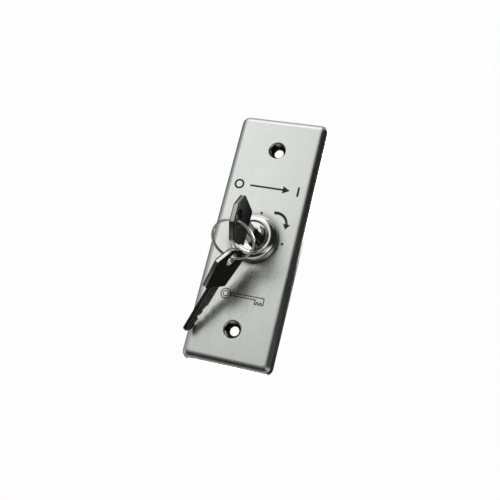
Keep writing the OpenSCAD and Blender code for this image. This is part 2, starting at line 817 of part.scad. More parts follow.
// Black plastic on both faces of the bow, moulded through two holes in the core
module key_bow() {
    difference() {
        hull() for (side = [-1, 1]) for (c = bow_corners)
            translate([0, side * c[0], c[1]]) puck(c[2]);
        translate([0, 0, eye_up]) rotate([0, 90, 0])
            cylinder(r = eye_r + 0.1, h = 10, center = true, $fn = 64);
        // room for the metal core, crossed by the pegs
        difference() {
            box([-blade_thick / 2 - 0.02, -15, -1], [blade_thick + 0.04, 30, 30]);
            for (side = [-1, 1]) translate([0, side * peg_across, peg_up]) rotate([0, 90, 0])
                cylinder(r = peg_r, h = 4, center = true, $fn = 36);
        }
    }
}

module at_key_1() { at_lock(bow_z) children(); }
module at_key_2() {
    translate(key_2_eye) rotate(key_2_turn) translate([0, 0, -eye_up]) children();
}

module key_1_blade() { color(blade_colour) place() at_key_1() key_blade(); }
module key_1_bow() { color(bow_colour) place() at_key_1() key_bow(); }
module key_2_blade() { color(blade_colour) place() at_key_2() key_blade(); }
module key_2_bow() { color(bow_colour) place() at_key_2() key_bow(); }

// Split ring: two flat coils lying on each other
module key_ring() {
    color([0.72, 0.72, 0.72]) place() translate(ring_centre) rotate([180 + ring_lean, 0, 0])
        rotate_extrude($fn = 120) for (layer = [-1, 1]) translate([ring_r, layer * 0.28]) {
            square([0.6, 0.59], center = true);
            for (side = [-1, 1]) translate([side * 0.14, 0]) circle(0.3, $fn = 24);
        }
}

face_plate();
legend_print();
flange_gasket();
lock_body();
lock_plug();
wafers_upper();
wafers_lower();
springs_upper();
springs_lower();
stop_washer();
cam();
cam_washer();
cam_screw();
tooth_washer();
switch_bracket();
lock_nut();
switch_case();
switch_cover();
switch_plunger();
switch_lever();
lever_pin();
moving_blade();
terminal_com();
terminal_no();
terminal_nc();
switch_screws();
switch_nuts();
key_1_blade();
key_1_bow();
key_ring();
key_2_blade();
key_2_bow();
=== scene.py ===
"""A key switch: a steel face plate with a threaded lock, two keys on a split ring, and a switch
behind the plate.

Shapes are drawn in the plate's frame, in millimetres: x right, y up the plate, z out of its face.
The row's frame is in metres with +Z up: the plate stands along Z and faces -Y.
"""
import bpy
import bmesh
import json
import math
from mathutils import Matrix, Vector


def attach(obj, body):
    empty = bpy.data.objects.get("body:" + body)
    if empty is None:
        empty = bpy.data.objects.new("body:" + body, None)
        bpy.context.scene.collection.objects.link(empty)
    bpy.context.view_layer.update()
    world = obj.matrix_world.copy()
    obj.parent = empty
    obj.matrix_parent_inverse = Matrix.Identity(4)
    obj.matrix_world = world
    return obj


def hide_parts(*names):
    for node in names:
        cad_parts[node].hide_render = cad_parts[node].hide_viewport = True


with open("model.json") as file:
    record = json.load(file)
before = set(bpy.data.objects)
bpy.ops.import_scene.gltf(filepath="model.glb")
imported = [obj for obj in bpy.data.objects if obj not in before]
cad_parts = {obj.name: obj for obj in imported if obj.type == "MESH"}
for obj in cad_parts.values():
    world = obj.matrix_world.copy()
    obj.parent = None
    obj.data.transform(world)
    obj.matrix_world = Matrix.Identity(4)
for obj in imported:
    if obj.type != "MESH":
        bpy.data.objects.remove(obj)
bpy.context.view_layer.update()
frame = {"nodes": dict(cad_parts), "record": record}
cad_nodes = frame["nodes"]

# ---------------------------------------------------------------- dimensions (mm, plate frame)
MM = 0.001
PLATE_WIDTH, PLATE_LENGTH, PLATE_HEIGHT, SHEET = 41.0, 115.0, 4.5, 1.2
CORNER_R = 3.4
SHOULDER_RUN, SHOULDER_RISE = 3.6, 3.5    # rounded edge of the plate: inwards and upwards
HOLE_Y, HOLE_R, DIMPLE_R = 41.75, 2.15, 3.7

LOCK_Y = -0.9
COLLAR_R, COLLAR_TOP, MOUTH_R = 10.8, 10.2, 7.5
BARREL_R, ROOT_R, BARREL_END = 9.4, 8.9, -9.0
THREAD_PITCH, LEAD_IN = 1.0, 0.7
FLAT_X = 8.6                              # half width across the barrel's flats
BORE_R = 5.05
RELIEF_R = 6.0
STOP_IN_R, STOP_OUT_R, STOP_LENGTH = 6.45, 8.25, 1.15

BOW_Z = 20.3                              # foot of the first key's bow
BOW_THICK, BOW_HEIGHT = 2.2, 18.9
BOW_SHOULDER, BOW_SHOULDER_HALF, BOW_FOOT_HALF, BOW_TOP_HALF = 13.5, 9.9, 7.6, 4.0
EYE_HEIGHT, EYE_R = 14.3, 3.1
COVER_INNER, COVER_EDGE = 0.82, 0.2       # inner face from mid-plane, edge rounding
PEG_Y, PEG_HEIGHT, PEG_R = 5, 6, 0.98

RING_R, RING_LEAN = 9.1, math.radians(48)
WIRE_HALF_WIDTH, WIRE_HALF_HEIGHT, WIRE_CORNER_R = 0.43, 0.28, 0.19
COIL_RISE = 0.57                          # between the middles of the two coils


# ---------------------------------------------------------------- frames and places
def point(x, y, z):
    """A point of the plate's frame, in mm, as a point of the row's frame, in metres."""
    return Vector((x * MM, -z * MM, y * MM))


def direction(x, y, z):
    """A direction of the plate's frame in the row's frame."""
    return Vector((x, -z, y))


def from_ring_edge(degrees):
    """Step of one ring radius in the ring's plane, turned from straight down its slope."""
    angle = math.radians(degrees)
    slope = Vector((0, -math.cos(RING_LEAN), -math.sin(RING_LEAN)))
    return RING_R * (math.sin(angle) * Vector((1, 0, 0)) + math.cos(angle) * slope)


PLATE_TO_ROW = Matrix(((MM, 0, 0, 0), (0, 0, -MM, 0), (0, MM, 0, 0), (0, 0, 0, 1)))
RING_CENTRE = Vector((0, LOCK_Y - 1.7, BOW_Z + EYE_HEIGHT)) + from_ring_edge(-10)
SECOND_EYE = RING_CENTRE + from_ring_edge(-5) + Vector((-0.3, -0.65, 0.75))
SECOND_KEY_TURN = (Matrix.Rotation(math.radians(-27.9), 4, "Z")
                   @ Matrix.Rotation(math.radians(-0.5), 4, "Y")
                   @ Matrix.Rotation(math.radians(-66.7), 4, "X"))
KEY_1 = Matrix.Translation((0, LOCK_Y, BOW_Z))
KEY_2 = (Matrix.Translation(SECOND_EYE) @ SECOND_KEY_TURN
         @ Matrix.Translation((0, 0, -EYE_HEIGHT)))


# ---------------------------------------------------------------- outlines
def quarter_turn(steps, first=0):
    """Angles from 0 to 90 degrees, in radians, from step `first` on."""
    return [math.radians(90 * k / steps) for k in range(first, steps + 1)]


def arc_points(centre_x, centre_y, radius, start, end, steps):
    angles = [math.radians(start + (end - start) * k / steps) for k in range(steps + 1)]
    return [(centre_x + radius * math.cos(a), centre_y + radius * math.sin(a)) for a in angles]


def rounded_rectangle(half_x, half_y, radius, steps=10):
    """Closed outline, counter-clockwise, with `steps` segments in each corner."""
    points = []
    for side_x, side_y, start in ((1, 1, 0), (-1, 1, 90), (-1, -1, 180), (1, -1, 270)):
        points += arc_points(side_x * (half_x - radius), side_y * (half_y - radius), radius,
                             start, start + 90, steps)
    return points


def circle(centre_x, centre_y, radius, count, half_width=math.inf):
    """Closed circle, cut to flats at `half_width` either side of the centre."""
    points = []
    for k in range(count):
        angle = 2 * math.pi * k / count
        x = max(-half_width, min(half_width, radius * math.cos(angle)))
        points.append((centre_x + x, centre_y + radius * math.sin(angle)))
    return points


def filleted_outline(corners, steps=8):
    """Fillet a convex counter-clockwise outline of corners (x, y, radius)."""
    points = []
    for i, (x, y, radius) in enumerate(corners):
        before, after = corners[i - 1], corners[(i + 1) % len(corners)]
        corner = Vector((x, y))
        back = Vector((before[0] - x, before[1] - y)).normalized()
        ahead = Vector((after[0] - x, after[1] - y)).normalized()
        half_angle = math.acos(max(-1, min(1, back.dot(ahead)))) / 2
        trim = radius / math.tan(half_angle)
        centre = corner + (back + ahead).normalized() * (radius / math.sin(half_angle))
        first, last = corner + back * trim, corner + ahead * trim
        start = math.atan2(first.y - centre.y, first.x - centre.x)
        end = math.atan2(last.y - centre.y, last.x - centre.x)
        while end < start:
            end += 2 * math.pi
        for k in range(steps + 1):
            angle = start + (end - start) * k / steps
            points.append((centre.x + radius * math.cos(angle),
                           centre.y + radius * math.sin(angle)))
    return points


def densify(points, spacing):
    """Split the long sides of a closed outline."""
    dense = []
    for i in range(len(points)):
        start, end = Vector(points[i]), Vector(points[(i + 1) % len(points)])
        parts = max(1, int((end - start).length / spacing))
        for k in range(parts):
            dense.append(tuple(start + (end - start) * k / parts))
    return dense


def inset_outline(points, distance):
    """Move a closed counter-clockwise outline inwards."""
    moved = []
    for i in range(len(points)):
        before, here = Vector(points[i - 1]), Vector(points[i])
        after = Vector(points[(i + 1) % len(points)])
        side_in, side_out = (here - before).normalized(), (after - here).normalized()
        normal = Vector((-side_in.y - side_out.y, side_in.x + side_out.x))
        normal.normalize()
        miter = max(0.5, normal.dot(Vector((-side_in.y, side_in.x))))
        moved.append(tuple(here + normal * distance / miter))
    return moved


# ---------------------------------------------------------------- mesh helpers
def at_z(points, z):
    return [(x, y, z) for x, y in points]


def at_x(points, x):
    return [(x, y, z) for y, z in points]


def loop_of(mesh, points):
    return [mesh.verts.new(p) for p in points]


def bridge(mesh, first, second):
    """Close the band between two loops with quads."""
    count = len(first)
    for i in range(count):
        j = (i + 1) % count
        mesh.faces.new((first[i], first[j], second[j], second[i]))


def skin(mesh, loops):
    for first, second in zip(loops, loops[1:]):
        bridge(mesh, first, second)


def cap_ends(mesh, loops):
    mesh.faces.new(loops[0])
    mesh.faces.new(loops[-1])


def fill_region(mesh, loops):
    """Fill the flat region bounded by closed loops, outer and holes."""
    edges = []
    for loop in loops:
        for i in range(len(loop)):
            ends = (loop[i], loop[(i + 1) % len(loop)])
            edges.append(mesh.edges.get(ends) or mesh.edges.new(ends))
    bmesh.ops.triangle_fill(mesh, use_beauty=True, use_dissolve=False, edges=edges)


def link_mesh(name, mesh):
    data = bpy.data.meshes.new(name)
    mesh.to_mesh(data)
    mesh.free()
    piece = bpy.data.objects.new(name, data)
    bpy.context.scene.collection.objects.link(piece)
    return piece


def finish_mesh(name, mesh, sharp, local=Matrix.Identity(4)):
    """Weld, place and shade a mesh drawn in mm; edges over `sharp` degrees stay sharp."""
    bmesh.ops.remove_doubles(mesh, verts=mesh.verts, dist=1e-4)
    bmesh.ops.recalc_face_normals(mesh, faces=mesh.faces)
    bmesh.ops.transform(mesh, matrix=PLATE_TO_ROW @ local, verts=mesh.verts)
    mesh.normal_update()
    for face in mesh.faces:
        face.smooth = True
    for edge in mesh.edges:
        if len(edge.link_faces) == 2:
            edge.smooth = edge.calc_face_angle(0) < math.radians(sharp)
    return link_mesh(name, mesh)


# ---------------------------------------------------------------- face plate
def plate_shoulder(inset, run, rise, steps):
    """Quarter ellipse of (inset, z) that turns the plate's side into its face."""
    base = PLATE_HEIGHT - SHOULDER_RISE
    return [(inset + run * (1 - math.cos(a)), base + rise * math.sin(a))
            for a in quarter_turn(steps, first=1)]


def dimple_profile():
    """(radius, z) from the face down the bowl, through the hole and up the boss behind."""
    top, lip = PLATE_HEIGHT, 0.95
    profile = [(5.0, top), (4.6, top), (4.42, top - 0.003)]
    for degrees in (97, 106, 116, 127, 138, 150, 161, 171, 180):
        angle = math.radians(degrees)
        profile.append((4.35 + lip * math.cos(angle), top - lip + lip * math.sin(angle)))
    return profile + [
        (3.36, 3.0), (3.24, 2.3), (3.08, 1.85), (2.86, 1.5), (2.6, 1.3), (2.34, 1.2),
        (HOLE_R + 0.04, 1.14), (HOLE_R, 1.06), (HOLE_R, 0.6), (HOLE_R, 0.08),
        (HOLE_R + 0.07, 0.0), (3.0, 0.0), (3.85, 0.0), (3.95, 0.1), (4.3, 1.4),
        (4.75, 2.95), (4.95, 3.2), (5.2, top - SHEET), (5.6, top - SHEET)]


def build_plate():
    mesh = bmesh.new()
    top, under, base = PLATE_HEIGHT, PLATE_HEIGHT - SHEET, PLATE_HEIGHT - SHOULDER_RISE
    # (inset, z) of the outer and the inner skin, rear edge to face
    outer_profile = [(0.16, 0.0), (0.05, 0.05), (0.0, 0.18), (0.0, 0.55), (0.0, base)]
    outer_profile += plate_shoulder(0.0, SHOULDER_RUN, SHOULDER_RISE, 22)
    outer_profile += [(SHOULDER_RUN + 0.22, top), (SHOULDER_RUN + 0.6, top)]
    inner_profile = [(SHEET - 0.12, 0.0), (SHEET, 0.14), (SHEET, base)]
    inner_profile += plate_shoulder(SHEET, SHOULDER_RUN - SHEET, SHOULDER_RISE - SHEET, 8)
    inner_profile += [(SHOULDER_RUN + 0.2, under), (SHOULDER_RUN + 0.6, under)]

    def rim_loop(inset, z):
        corner = max(0.7, CORNER_R - inset * 0.68)
        return loop_of(mesh, at_z(rounded_rectangle(PLATE_WIDTH / 2 - inset,
                                                    PLATE_LENGTH / 2 - inset, corner), z))

    outer = [rim_loop(inset, z) for inset, z in outer_profile]
    inner = [rim_loop(inset, z) for inset, z in inner_profile]
    skin(mesh, outer)
    for first, second in zip(inner, inner[1:]):
        bridge(mesh, second, first)
    bridge(mesh, inner[0], outer[0])

    face_holes, under_holes = [], []
    for side in (-1, 1):
        loops = [loop_of(mesh, at_z(circle(0, side * HOLE_Y, radius, 72), z))
                 for radius, z in dimple_profile()]
        skin(mesh, loops)
        face_holes.append(loops[0])
        under_holes.append(loops[-1])

    # lock opening: (clearance on the radius, clearance on the flats, z)
    opening_profile = [(0.9, 0.8, top), (0.25, 0.22, top), (0.15, 0.12, top - 0.1),
                       (0.15, 0.12, under + 0.1), (0.25, 0.22, under), (0.9, 0.8, under)]
    opening = [loop_of(mesh, at_z(circle(0, LOCK_Y, BARREL_R + gap, 96, FLAT_X + flat_gap), z))
               for gap, flat_gap, z in opening_profile]
    skin(mesh, opening)
    fill_region(mesh, [outer[-1], opening[0]] + face_holes)
    fill_region(mesh, [inner[-1], opening[-1]] + under_holes)
    return finish_mesh("face_plate_shell", mesh, sharp=50)


# ---------------------------------------------------------------- lock collar and threaded barrel
def collar_profile():
    """(radius, z) of the collar from its rear edge to its nose, then into the mouth."""
    dome_base, dome_top = PLATE_HEIGHT + 1.5, COLLAR_TOP - 0.25
    profile = [(COLLAR_R - 0.3, PLATE_HEIGHT + 0.5), (COLLAR_R - 0.1, PLATE_HEIGHT + 0.54),
               (COLLAR_R, PLATE_HEIGHT + 0.68), (COLLAR_R, dome_base - 0.2)]
    for angle in quarter_turn(28):
        profile.append((MOUTH_R + (COLLAR_R - 0.05 - MOUTH_R) * math.cos(angle),
                        dome_base + (dome_top - dome_base) * math.sin(angle)))
    # raised lip
    profile += [(7.48, dome_top + 0.01), (7.45, dome_top + 0.05), (7.43, COLLAR_TOP - 0.08),
                (7.4, COLLAR_TOP - 0.03), (7.36, COLLAR_TOP - 0.01)]
    # chamfered mouth
    for k in range(9):
        profile.append((7.31 - 0.76 * k / 8, COLLAR_TOP - 0.012 - 0.31 * (k / 8) ** 1.35))
    # seat of the rotor's flange
    return profile + [(6.52, COLLAR_TOP - 0.35), (6.5, COLLAR_TOP - 0.42), (6.5, 8.2),
                      (6.48, 8.12), (6.42, 8.1), (BORE_R + 0.07, 8.1), (BORE_R + 0.02, 8.08),
                      (BORE_R, 8.0)]


def bore_profile():
    """(radius, z) down to the tail, with the relief that the wafers spring into."""
    return [(BORE_R, 7.35), (BORE_R + 0.05, 7.3), (RELIEF_R, 7.3), (RELIEF_R + 0.02, 7.25),
            (RELIEF_R + 0.02, -1.55), (RELIEF_R, -1.6), (BORE_R + 0.05, -1.6), (BORE_R, -1.65),
            (BORE_R, BARREL_END + 0.15), (BORE_R + 0.15, BARREL_END), (8.3, BARREL_END)]


def thread_row(z, count):
    """One turn of the helical thread at height z, trimmed to the two flats."""
    depth = BARREL_R - ROOT_R
    lead = min(1.0, (z - BARREL_END) / LEAD_IN)
    row = []
    for k in range(count):
        angle = 2 * math.pi * k / count
        phase = (z - angle / (2 * math.pi)) % THREAD_PITCH
        cut = abs(phase * 2 - 1)                       # 1 at the root, 0 at the crest
        cut = min(1.0, max(0.0, (cut - 0.08) / 0.84))
        radius = min(BARREL_R - depth * cut, ROOT_R - 0.15 + (depth + 0.15) * lead)
        x = max(-FLAT_X, min(FLAT_X, radius * math.cos(angle)))
        row.append((x, LOCK_Y + radius * math.sin(angle), z))
    return row


def build_lock_body():
    mesh = bmesh.new()
    count = 144
    rows = [at_z(circle(0, LOCK_Y, radius, count), z)
            for radius, z in collar_profile() + bore_profile()]
    thread_length = PLATE_HEIGHT + 0.5 - BARREL_END
    steps = int(thread_length * 10)
    for i in range(steps + 1):
        rows.append(thread_row(BARREL_END + thread_length * i / steps, count))
    loops = [loop_of(mesh, row) for row in rows]
    skin(mesh, loops)
    bridge(mesh, loops[-1], loops[0])
    # the two stops on the tail, from start to end degrees
    for start, end in ((147, 168), (12, 33)):
        outline = (arc_points(0, LOCK_Y, STOP_IN_R, start, end, 10)
                   + arc_points(0, LOCK_Y, STOP_OUT_R, end, start, 10))
        stop = [loop_of(mesh, at_z(outline, z))
                for z in (BARREL_END - STOP_LENGTH, BARREL_END + 0.05)]
        skin(mesh, stop)
        cap_ends(mesh, stop)
    return finish_mesh("lock_collar_and_barrel", mesh, sharp=48)


# ---------------------------------------------------------------- key bows
def build_bow(name, local):
    """Black plastic on both faces of the key's metal bow: two softened plates and two pegs.

    The bow stands up z from its foot, and x is its thickness.
    """
    mesh = bmesh.new()
    foot, shoulder = BOW_FOOT_HALF + 0.1, BOW_SHOULDER + 0.1
    outline = densify(filleted_outline([
        (-foot, 0.0, 0.9), (foot, 0.0, 0.9), (BOW_SHOULDER_HALF, shoulder, 0.8),
        (BOW_TOP_HALF, BOW_HEIGHT, 1.6), (-BOW_TOP_HALF, BOW_HEIGHT, 1.6),
        (-BOW_SHOULDER_HALF, shoulder, 0.8)]), spacing=1.2)
    inner, outer, edge = COVER_INNER, BOW_THICK / 2, COVER_EDGE
    # (inset, x) round the rim, and (radius, x) of the eye
    rim_profile = [(0.3, inner), (0.05, inner), (0.0, inner + 0.05)]
    rim_profile += [(edge * (1 - math.cos(a)) + 1e-4, outer - edge + edge * math.sin(a))
                    for a in quarter_turn(5)]
    rim_profile += [(edge + 0.12, outer), (edge + 0.4, outer)]
    eye_profile = [(EYE_R + 0.75, outer), (EYE_R + 0.5, outer)]
    eye_profile += [(EYE_R + 0.1 + edge * (1 - math.sin(a)), outer - edge + edge * math.cos(a))
                    for a in quarter_turn(5)]
    eye_profile += [(EYE_R + 0.1, inner + 0.04), (EYE_R + 0.15, inner), (EYE_R + 0.4, inner)]

    for side in (1, -1):
        rim = [loop_of(mesh, at_x(inset_outline(outline, inset), side * x))
               for inset, x in rim_profile]
        skin(mesh, rim)
        eye = [loop_of(mesh, at_x(circle(0, EYE_HEIGHT, radius, 64), side * x))
               for radius, x in eye_profile]
        skin(mesh, eye)
        fill_region(mesh, [rim[-1], eye[0]])
        fill_region(mesh, [rim[0], eye[-1]])
    for side in (1, -1):
        peg = [loop_of(mesh, at_x(circle(side * PEG_Y, PEG_HEIGHT, PEG_R, 36), x))
               for x in (-inner - 0.1, -inner + 0.1, inner - 0.1, inner + 0.1)]
        skin(mesh, peg)
        cap_ends(mesh, peg)
    return finish_mesh(name, mesh, sharp=50, local=local)


# ---------------------------------------------------------------- split ring
def build_ring():
    """Two turns of flattened wire, each in its own plane, that cross over in one short step."""
    mesh = bmesh.new()
    turns, steps, start = 2.0, 260, math.radians(200)
    section = rounded_rectangle(WIRE_HALF_WIDTH, WIRE_HALF_HEIGHT, WIRE_CORNER_R, steps=4)
    rows = []
    for i in range(steps + 1):
        turn = turns * i / steps
        angle = start + 2 * math.pi * turn
        step = min(1.0, max(0.0, (turn - 0.93) / 0.14))
        height = -COIL_RISE / 2 + COIL_RISE * (step * step * (3 - 2 * step))
        scale = 0.82 if i in (0, steps) else 1.0       # the wire's two ends are drawn in
        rows.append(loop_of(mesh, [((RING_R + across * scale) * math.cos(angle),
                                    (RING_R + across * scale) * math.sin(angle),
                                    height + up * scale) for across, up in section]))
    skin(mesh, rows)
    cap_ends(mesh, rows)
    local = Matrix.Translation(RING_CENTRE) @ Matrix.Rotation(math.pi + RING_LEAN, 4, "X")
    return finish_mesh("split_ring", mesh, sharp=60, local=local)


# ---------------------------------------------------------------- node trees
class Nodes:
    """A cleared node tree with short ways to add and join nodes."""

    def __init__(self, tree):
        self.tree = tree
        tree.nodes.clear()

    def set(self, node, inputs):
        """Link or set inputs, by name or index. Colours are opaque."""
        for key, value in inputs.items():
            socket = node.inputs[key]
            if isinstance(value, bpy.types.NodeSocket):
                self.tree.links.new(value, socket)
            elif socket.type == "RGBA":
                socket.default_value = (*value, 1.0)
            else:
                socket.default_value = value

    def add(self, kind, inputs={}, **settings):
        node = self.tree.nodes.new(kind)
        for name, value in settings.items():
            setattr(node, name, value)
        self.set(node, inputs)
        return node

    def math(self, operation, *values):
        node = self.add("ShaderNodeMath", dict(enumerate(values)), operation=operation)
        return node.outputs[0]

    def plus(self, first, *others):
        for other in others:
            first = self.math("ADD", first, other)
        return first

    def times(self, first, *others):
        for other in others:
            first = self.math("MULTIPLY", first, other)
        return first

    def vector_math(self, operation, first, second):
        node = self.add("ShaderNodeVectorMath", {0: first, 1: second}, operation=operation)
        return node.outputs["Value"]

    def remap(self, value, over, to=(0.0, 1.0), **settings):
        """Carry the range `over` to the range `to`, clamped."""
        inputs = dict(enumerate((value, *over, *to)))
        return self.add("ShaderNodeMapRange", inputs, **settings).outputs[0]

    def mix(self, factor, first, second):
        inputs = {0: factor, 6: first, 7: second}
        return self.add("ShaderNodeMix", inputs, data_type="RGBA").outputs[2]

    def place(self):
        return self.add("ShaderNodeTexCoord").outputs["Object"]

    def coords(self, scale=(1, 1, 1), turn=(0, 0, 0)):
        inputs = {"Scale": scale, "Rotation": turn, "Vector": self.place()}
        return self.add("ShaderNodeMapping", inputs).outputs["Vector"]

    def noise(self, vector, scale, detail, rough, distort=0.0):
        return self.add("ShaderNodeTexNoise", {
            "Scale": scale, "Detail": detail, "Roughness": rough, "Distortion": distort,
            "Vector": vector}).outputs["Fac"]

    def bump(self, height, strength, distance=0.00002):
        inputs = {"Strength": strength, "Distance": distance, "Height": height}
        return self.add("ShaderNodeBump", inputs).outputs[0]

    def edge_wear(self, radius):
        """Edges, from the difference between the bevelled and the true normal."""
        bevel = self.add("ShaderNodeBevel", {"Radius": radius}, samples=4)
        normal = self.add("ShaderNodeNewGeometry").outputs["Normal"]
        likeness = self.vector_math("DOT_PRODUCT", bevel.outputs[0], normal)
        return self.remap(likeness, over=(0.995, 0.9))


# ---------------------------------------------------------------- CAD nodes: weld, smooth, bevel
def build_weld_group(weld_distance=2e-6, smooth_below=32.0):
    group = bpy.data.node_groups.new("weld_and_smooth", "GeometryNodeTree")
    for in_out in ("INPUT", "OUTPUT"):
        group.interface.new_socket("Geometry", in_out=in_out, socket_type="NodeSocketGeometry")
    nodes = Nodes(group)
    source = nodes.add("NodeGroupInput")
    weld = nodes.add("GeometryNodeMergeByDistance",
                     {"Geometry": source.outputs[0], "Distance": weld_distance})
    faces = nodes.add("GeometryNodeSetShadeSmooth", domain="FACE")
    nodes.set(faces, {"Geometry": weld.outputs[0], "Shade Smooth": True})
    angle = nodes.add("GeometryNodeInputMeshEdgeAngle").outputs["Unsigned Angle"]
    shallow = nodes.add("FunctionNodeCompare", {0: angle, 1: math.radians(smooth_below)},
                        data_type="FLOAT", operation="LESS_THAN")
    edges = nodes.add("GeometryNodeSetShadeSmooth", domain="EDGE")
    nodes.set(edges, {"Geometry": faces.outputs[0], "Shade Smooth": shallow.outputs[0]})
    nodes.add("NodeGroupOutput", {0: edges.outputs[0]})
    return group


def dress(piece, weld_group, bevel_width):
    """Weld and smooth a CAD piece, then soften its edges by a bevel in mm."""
    piece.modifiers.new("weld", "NODES").node_group = weld_group
    if bevel_width:
        bevel = piece.modifiers.new("edge", "BEVEL")
        bevel.width, bevel.segments = bevel_width * MM, 2
        bevel.limit_method, bevel.angle_limit = "ANGLE", math.radians(40)
        bevel.use_clamp_overlap = True
        bevel.harden_normals = True
        bevel.miter_outer = "MITER_ARC"


# ---------------------------------------------------------------- materials
GRAIN_Z, GRAIN_X = (1, 1, 0.018), (0.018, 1, 1)    # noise scales that draw the grain along an axis


def new_material(name):
    material = bpy.data.materials.new(name)
    material.use_nodes = True
    nodes = Nodes(material.node_tree)
    return material, nodes, nodes.add("ShaderNodeOutputMaterial")


def new_surface(name):
    material, nodes, output = new_material(name)
    shader = nodes.add("ShaderNodeBsdfPrincipled")
    nodes.set(output, {0: shader.outputs[0]})
    return material, nodes, shader, output


def tinted(colour, gain, lift=0.0, limit=1.0):
    return tuple(min(limit, x * gain + lift) for x in colour)


def dimple_mask(nodes):
    """One inside the two screw dimples, zero elsewhere; it masks the plate's painted shade in the
    dimples.
    """
    separate = nodes.add("ShaderNodeSeparateXYZ", {0: nodes.place()})
    x, y, z = separate.outputs
    from_hole = nodes.math("SUBTRACT", nodes.math("ABSOLUTE", z), HOLE_Y * MM)
    radius = nodes.math("SQRT", nodes.plus(nodes.times(x, x), nodes.times(from_hole, from_hole)))
    height = nodes.times(y, -1.0)
    return nodes.times(
        nodes.remap(radius, over=(DIMPLE_R * MM, (DIMPLE_R + 0.5) * MM), to=(1.0, 0.0)),
        nodes.remap(height, over=(0.0036, 0.0043), to=(1.0, 0.0)))


def satin_steel(name, base, rough, grain_scale, grain, aniso, open_range, closed_shade,
                dimples=False, dark_at=None, dim=None):
    """Steel with a fine directional grain, with painted shade: where ambient occlusion finds
    recesses or nearby parts, the metal is blended to a black diffuse.

    open_range: ambient occlusion from closed to open; closed_shade: metal left where closed.
    dark_at: centre of a painted shadow spot. dim: painted shade along a direction, as (start,
    direction, brightness before the start).
    dimples: painted shade in the plate's two screw dimples.
    """
    material, nodes, shader, output = new_surface(name)
    lines = nodes.coords(grain_scale)
    fine = nodes.noise(lines, scale=5200, detail=3, rough=0.6)
    medium = nodes.noise(lines, scale=1300, detail=4, rough=0.6)
    cloud = nodes.noise(nodes.coords(), scale=55, detail=4, rough=0.6, distort=0.4)
    smudge = nodes.noise(nodes.coords((1, 1, 0.5)), scale=160, detail=5, rough=0.65, distort=1.2)
    streaks = nodes.plus(nodes.times(fine, 0.6), nodes.times(medium, 0.4))

    grained = nodes.mix(nodes.remap(streaks, over=(0.3, 0.7)),
                        tinted(base, gain=0.93), tinted(base, gain=1.05))
    clouded = nodes.mix(nodes.remap(cloud, over=(0.35, 0.65)), grained, tinted(base, gain=0.97))
    colour = nodes.mix(0.25, grained, clouded)
    # painted shade: the metal fades to dark before the start along the direction
    if dim is not None:
        start, along, brightness = dim
        edge = start.dot(along)
        travel = nodes.vector_math("DOT_PRODUCT", nodes.place(), along)
        lit = nodes.remap(travel, over=(edge - 0.0006, edge + 0.0006), to=(brightness, 1.0))
        colour = nodes.mix(lit, (0.0, 0.0, 0.0), colour)

    # painted shade: ambient occlusion blends the metal to a black diffuse in recesses and close to
    # other parts
    occlusion = nodes.add("ShaderNodeAmbientOcclusion", {"Distance": 0.0035}, samples=6)
    shade = nodes.remap(occlusion.outputs["AO"], over=open_range, to=(closed_shade, 1.0))
    # painted shadow: a dark spot round the given centre
    if dark_at is not None:
        away = nodes.vector_math("DISTANCE", nodes.place(), dark_at)
        shade = nodes.times(shade, nodes.remap(away, over=(0.0032, 0.0036), to=(0.1, 1.0)))
    # painted shade: the screw dimples go nearly black
    if dimples:
        shade = nodes.times(shade, nodes.remap(dimple_mask(nodes), over=(0.0, 1.0),
                                               to=(1.0, 0.06)))
    painted_shade_black = nodes.add("ShaderNodeBsdfDiffuse", {"Color": (0.012, 0.012, 0.012)})
    blend = nodes.add("ShaderNodeMixShader", {0: shade, 1: painted_shade_black.outputs[0], 2: shader.outputs[0]})
    nodes.set(output, {0: blend.outputs[0]})

    roughness = nodes.plus(
        nodes.remap(streaks, over=(0.3, 0.7), to=(rough - 0.05 * grain, rough + 0.06 * grain)),
        nodes.remap(smudge, over=(0.4, 0.7), to=(-0.015, 0.03)))
    nodes.set(shader, {"Metallic": 1.0, "Base Color": colour, "Roughness": roughness,
                       "Anisotropic": aniso,
                       "Normal": nodes.bump(streaks, strength=0.025 * grain)})
    if aniso:
        tangent = nodes.add("ShaderNodeTangent", direction_type="RADIAL", axis="X")
        nodes.set(shader, {"Tangent": tangent.outputs[0]})
    return material


def key_steel(name, base, **marks):
    # painted shade by ambient occlusion, down to 4% of the metal where closed
    return satin_steel(name, base, rough=0.20, grain_scale=GRAIN_Z, grain=0.8, aniso=0.0,
                       open_range=(0.5, 0.95), closed_shade=0.04, **marks)


def chrome(name, base, rough):
    material, nodes, shader, _ = new_surface(name)
    plain = nodes.coords()
    ripple = nodes.noise(plain, scale=900, detail=5, rough=0.7)
    haze = nodes.noise(plain, scale=140, detail=4, rough=0.6, distort=0.8)
    scratches = nodes.noise(nodes.coords((1, 6, 0.3), (0.3, 0.7, 0.2)),
                            scale=2600, detail=2, rough=0.8)
    roughness = nodes.plus(nodes.remap(haze, over=(0.4, 0.75), to=(rough, rough + 0.03)),
                           nodes.remap(scratches, over=(0.62, 0.72), to=(0.0, 0.03)))
    colour = nodes.mix(nodes.remap(haze, over=(0.3, 0.7)), base, tinted(base, gain=0.96))
    nodes.set(shader, {"Metallic": 1.0, "Base Color": colour, "Roughness": roughness,
                       "Normal": nodes.bump(ripple, strength=0.015)})
    return material


